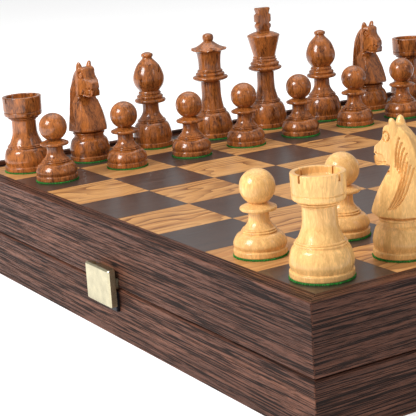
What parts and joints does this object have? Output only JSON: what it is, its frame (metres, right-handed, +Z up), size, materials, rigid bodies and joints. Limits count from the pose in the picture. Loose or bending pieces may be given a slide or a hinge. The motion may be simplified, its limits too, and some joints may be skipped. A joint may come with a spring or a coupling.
{
  "type": "chess box",
  "caption": "Square wooden chess box with the board on its hinged lid, a magnetic brass flap latch, a felt-lined base with dividers, and chessmen that lift off.",
  "frame": {"origin": "middle of the flat underside", "axes": "+Z up; the latch faces -Y and the hinges +Y; rank 1, the light side, is at +X and rank 8 at -X"},
  "size_m": [0.386, 0.4005, 0.152],
  "materials": {
    "wenge": "open-pored, oiled, satin",
    "border_wood": "satin",
    "board_dark": "satin lacquer",
    "board_light": "satin lacquer",
    "panel_wood": "matt",
    "divider_wood": "matt",
    "lining_felt": "felt",
    "boxwood": "semi-gloss lacquer",
    "acacia": "semi-gloss lacquer",
    "latch_brass": "satin",
    "hinge_brass": "satin",
    "screw_brass": "satin",
    "pin_steel": "bright",
    "magnet_black": "dark nickel",
    "strike_black": "black, satin"
  },
  "bodies": {
    "base": {"base_front_wall": "wenge", "base_right_wall": "wenge", "base_back_wall": "wenge", "base_left_wall": "wenge", "base_bottom_panel": "panel_wood", "base_felt_lining": "lining_felt", "long_divider": "divider_wood", "cross_dividers": "divider_wood", "hinge_base_leaves": "hinge_brass", "hinge_pins": "hinge_brass", "hinge_base_screws": "screw_brass", "latch_strike_plate": "strike_black"},
    "lid": {"lid_front_wall": "wenge", "lid_right_wall": "wenge", "lid_back_wall": "wenge", "lid_left_wall": "wenge", "lid_panel": "panel_wood", "dark_squares": "board_dark", "light_squares": "board_light", "board_border": "border_wood", "far_lip": "border_wood", "hinge_lid_leaves": "hinge_brass", "hinge_lid_screws": "screw_brass", "latch_bracket": "latch_brass", "latch_bracket_screws": "screw_brass", "latch_pin": "pin_steel"},
    "flap": {"latch_flap": "latch_brass", "latch_magnet": "magnet_black"},
    "light_rook_a1": {"light_rook_a1": "boxwood"},
    "light_knight_b1": {"light_knight_b1": "boxwood"},
    "light_bishop_c1": {"light_bishop_c1": "boxwood"},
    "light_queen_d1": {"light_queen_d1": "boxwood"},
    "light_king_e1": {"light_king_e1": "boxwood"},
    "light_bishop_f1": {"light_bishop_f1": "boxwood"},
    "light_knight_g1": {"light_knight_g1": "boxwood"},
    "light_rook_h1": {"light_rook_h1": "boxwood"},
    "light_pawn_a2": {"light_pawn_a2": "boxwood"},
    "light_pawn_b2": {"light_pawn_b2": "boxwood"},
    "light_pawn_c2": {"light_pawn_c2": "boxwood"},
    "light_pawn_d2": {"light_pawn_d2": "boxwood"},
    "light_pawn_e2": {"light_pawn_e2": "boxwood"},
    "light_pawn_f2": {"light_pawn_f2": "boxwood"},
    "light_pawn_g2": {"light_pawn_g2": "boxwood"},
    "light_pawn_h2": {"light_pawn_h2": "boxwood"},
    "dark_rook_a8": {"dark_rook_a8": "acacia"},
    "dark_knight_b8": {"dark_knight_b8": "acacia"},
    "dark_bishop_c8": {"dark_bishop_c8": "acacia"},
    "dark_queen_d8": {"dark_queen_d8": "acacia"},
    "dark_king_e8": {"dark_king_e8": "acacia"},
    "dark_bishop_f8": {"dark_bishop_f8": "acacia"},
    "dark_knight_g8": {"dark_knight_g8": "acacia"},
    "dark_rook_h8": {"dark_rook_h8": "acacia"},
    "dark_pawn_a7": {"dark_pawn_a7": "acacia"},
    "dark_pawn_b7": {"dark_pawn_b7": "acacia"},
    "dark_pawn_c7": {"dark_pawn_c7": "acacia"},
    "dark_pawn_d7": {"dark_pawn_d7": "acacia"},
    "dark_pawn_e7": {"dark_pawn_e7": "acacia"},
    "dark_pawn_f7": {"dark_pawn_f7": "acacia"},
    "dark_pawn_g7": {"dark_pawn_g7": "acacia"},
    "dark_pawn_h7": {"dark_pawn_h7": "acacia"}
  },
  "joints": [
    {"name": "case_lid_hinge", "type": "hinge", "parent": "base", "child": "lid", "pos_m": [0, 0.196, 0.0298], "axis": [-1, 0, 0], "range_deg": [0, 100]},
    {"name": "case_latch_swing", "type": "hinge", "parent": "lid", "child": "flap", "pos_m": [0, -0.1967, 0.039], "axis": [-1, 0, 0], "range_deg": [0, 90]},
    {"name": "man_light_rook_a1_lift", "type": "slide", "parent": "lid", "child": "light_rook_a1", "axis": [0, 0, 1], "range_m": [0, 0.1]},
    {"name": "man_light_knight_b1_lift", "type": "slide", "parent": "lid", "child": "light_knight_b1", "axis": [0, 0, 1], "range_m": [0, 0.1]},
    {"name": "man_light_bishop_c1_lift", "type": "slide", "parent": "lid", "child": "light_bishop_c1", "axis": [0, 0, 1], "range_m": [0, 0.1]},
    {"name": "man_light_queen_d1_lift", "type": "slide", "parent": "lid", "child": "light_queen_d1", "axis": [0, 0, 1], "range_m": [0, 0.1]},
    {"name": "man_light_king_e1_lift", "type": "slide", "parent": "lid", "child": "light_king_e1", "axis": [0, 0, 1], "range_m": [0, 0.1]},
    {"name": "man_light_bishop_f1_lift", "type": "slide", "parent": "lid", "child": "light_bishop_f1", "axis": [0, 0, 1], "range_m": [0, 0.1]},
    {"name": "man_light_knight_g1_lift", "type": "slide", "parent": "lid", "child": "light_knight_g1", "axis": [0, 0, 1], "range_m": [0, 0.1]},
    {"name": "man_light_rook_h1_lift", "type": "slide", "parent": "lid", "child": "light_rook_h1", "axis": [0, 0, 1], "range_m": [0, 0.1]},
    {"name": "man_light_pawn_a2_lift", "type": "slide", "parent": "lid", "child": "light_pawn_a2", "axis": [0, 0, 1], "range_m": [0, 0.1]},
    {"name": "man_light_pawn_b2_lift", "type": "slide", "parent": "lid", "child": "light_pawn_b2", "axis": [0, 0, 1], "range_m": [0, 0.1]},
    {"name": "man_light_pawn_c2_lift", "type": "slide", "parent": "lid", "child": "light_pawn_c2", "axis": [0, 0, 1], "range_m": [0, 0.1]},
    {"name": "man_light_pawn_d2_lift", "type": "slide", "parent": "lid", "child": "light_pawn_d2", "axis": [0, 0, 1], "range_m": [0, 0.1]},
    {"name": "man_light_pawn_e2_lift", "type": "slide", "parent": "lid", "child": "light_pawn_e2", "axis": [0, 0, 1], "range_m": [0, 0.1]},
    {"name": "man_light_pawn_f2_lift", "type": "slide", "parent": "lid", "child": "light_pawn_f2", "axis": [0, 0, 1], "range_m": [0, 0.1]},
    {"name": "man_light_pawn_g2_lift", "type": "slide", "parent": "lid", "child": "light_pawn_g2", "axis": [0, 0, 1], "range_m": [0, 0.1]},
    {"name": "man_light_pawn_h2_lift", "type": "slide", "parent": "lid", "child": "light_pawn_h2", "axis": [0, 0, 1], "range_m": [0, 0.1]},
    {"name": "man_dark_rook_a8_lift", "type": "slide", "parent": "lid", "child": "dark_rook_a8", "axis": [0, 0, 1], "range_m": [0, 0.1]},
    {"name": "man_dark_knight_b8_lift", "type": "slide", "parent": "lid", "child": "dark_knight_b8", "axis": [0, 0, 1], "range_m": [0, 0.1]},
    {"name": "man_dark_bishop_c8_lift", "type": "slide", "parent": "lid", "child": "dark_bishop_c8", "axis": [0, 0, 1], "range_m": [0, 0.1]},
    {"name": "man_dark_queen_d8_lift", "type": "slide", "parent": "lid", "child": "dark_queen_d8", "axis": [0, 0, 1], "range_m": [0, 0.1]},
    {"name": "man_dark_king_e8_lift", "type": "slide", "parent": "lid", "child": "dark_king_e8", "axis": [0, 0, 1], "range_m": [0, 0.1]},
    {"name": "man_dark_bishop_f8_lift", "type": "slide", "parent": "lid", "child": "dark_bishop_f8", "axis": [0, 0, 1], "range_m": [0, 0.1]},
    {"name": "man_dark_knight_g8_lift", "type": "slide", "parent": "lid", "child": "dark_knight_g8", "axis": [0, 0, 1], "range_m": [0, 0.1]},
    {"name": "man_dark_rook_h8_lift", "type": "slide", "parent": "lid", "child": "dark_rook_h8", "axis": [0, 0, 1], "range_m": [0, 0.1]},
    {"name": "man_dark_pawn_a7_lift", "type": "slide", "parent": "lid", "child": "dark_pawn_a7", "axis": [0, 0, 1], "range_m": [0, 0.1]},
    {"name": "man_dark_pawn_b7_lift", "type": "slide", "parent": "lid", "child": "dark_pawn_b7", "axis": [0, 0, 1], "range_m": [0, 0.1]},
    {"name": "man_dark_pawn_c7_lift", "type": "slide", "parent": "lid", "child": "dark_pawn_c7", "axis": [0, 0, 1], "range_m": [0, 0.1]},
    {"name": "man_dark_pawn_d7_lift", "type": "slide", "parent": "lid", "child": "dark_pawn_d7", "axis": [0, 0, 1], "range_m": [0, 0.1]},
    {"name": "man_dark_pawn_e7_lift", "type": "slide", "parent": "lid", "child": "dark_pawn_e7", "axis": [0, 0, 1], "range_m": [0, 0.1]},
    {"name": "man_dark_pawn_f7_lift", "type": "slide", "parent": "lid", "child": "dark_pawn_f7", "axis": [0, 0, 1], "range_m": [0, 0.1]},
    {"name": "man_dark_pawn_g7_lift", "type": "slide", "parent": "lid", "child": "dark_pawn_g7", "axis": [0, 0, 1], "range_m": [0, 0.1]},
    {"name": "man_dark_pawn_h7_lift", "type": "slide", "parent": "lid", "child": "dark_pawn_h7", "axis": [0, 0, 1], "range_m": [0, 0.1]}
  ]
}
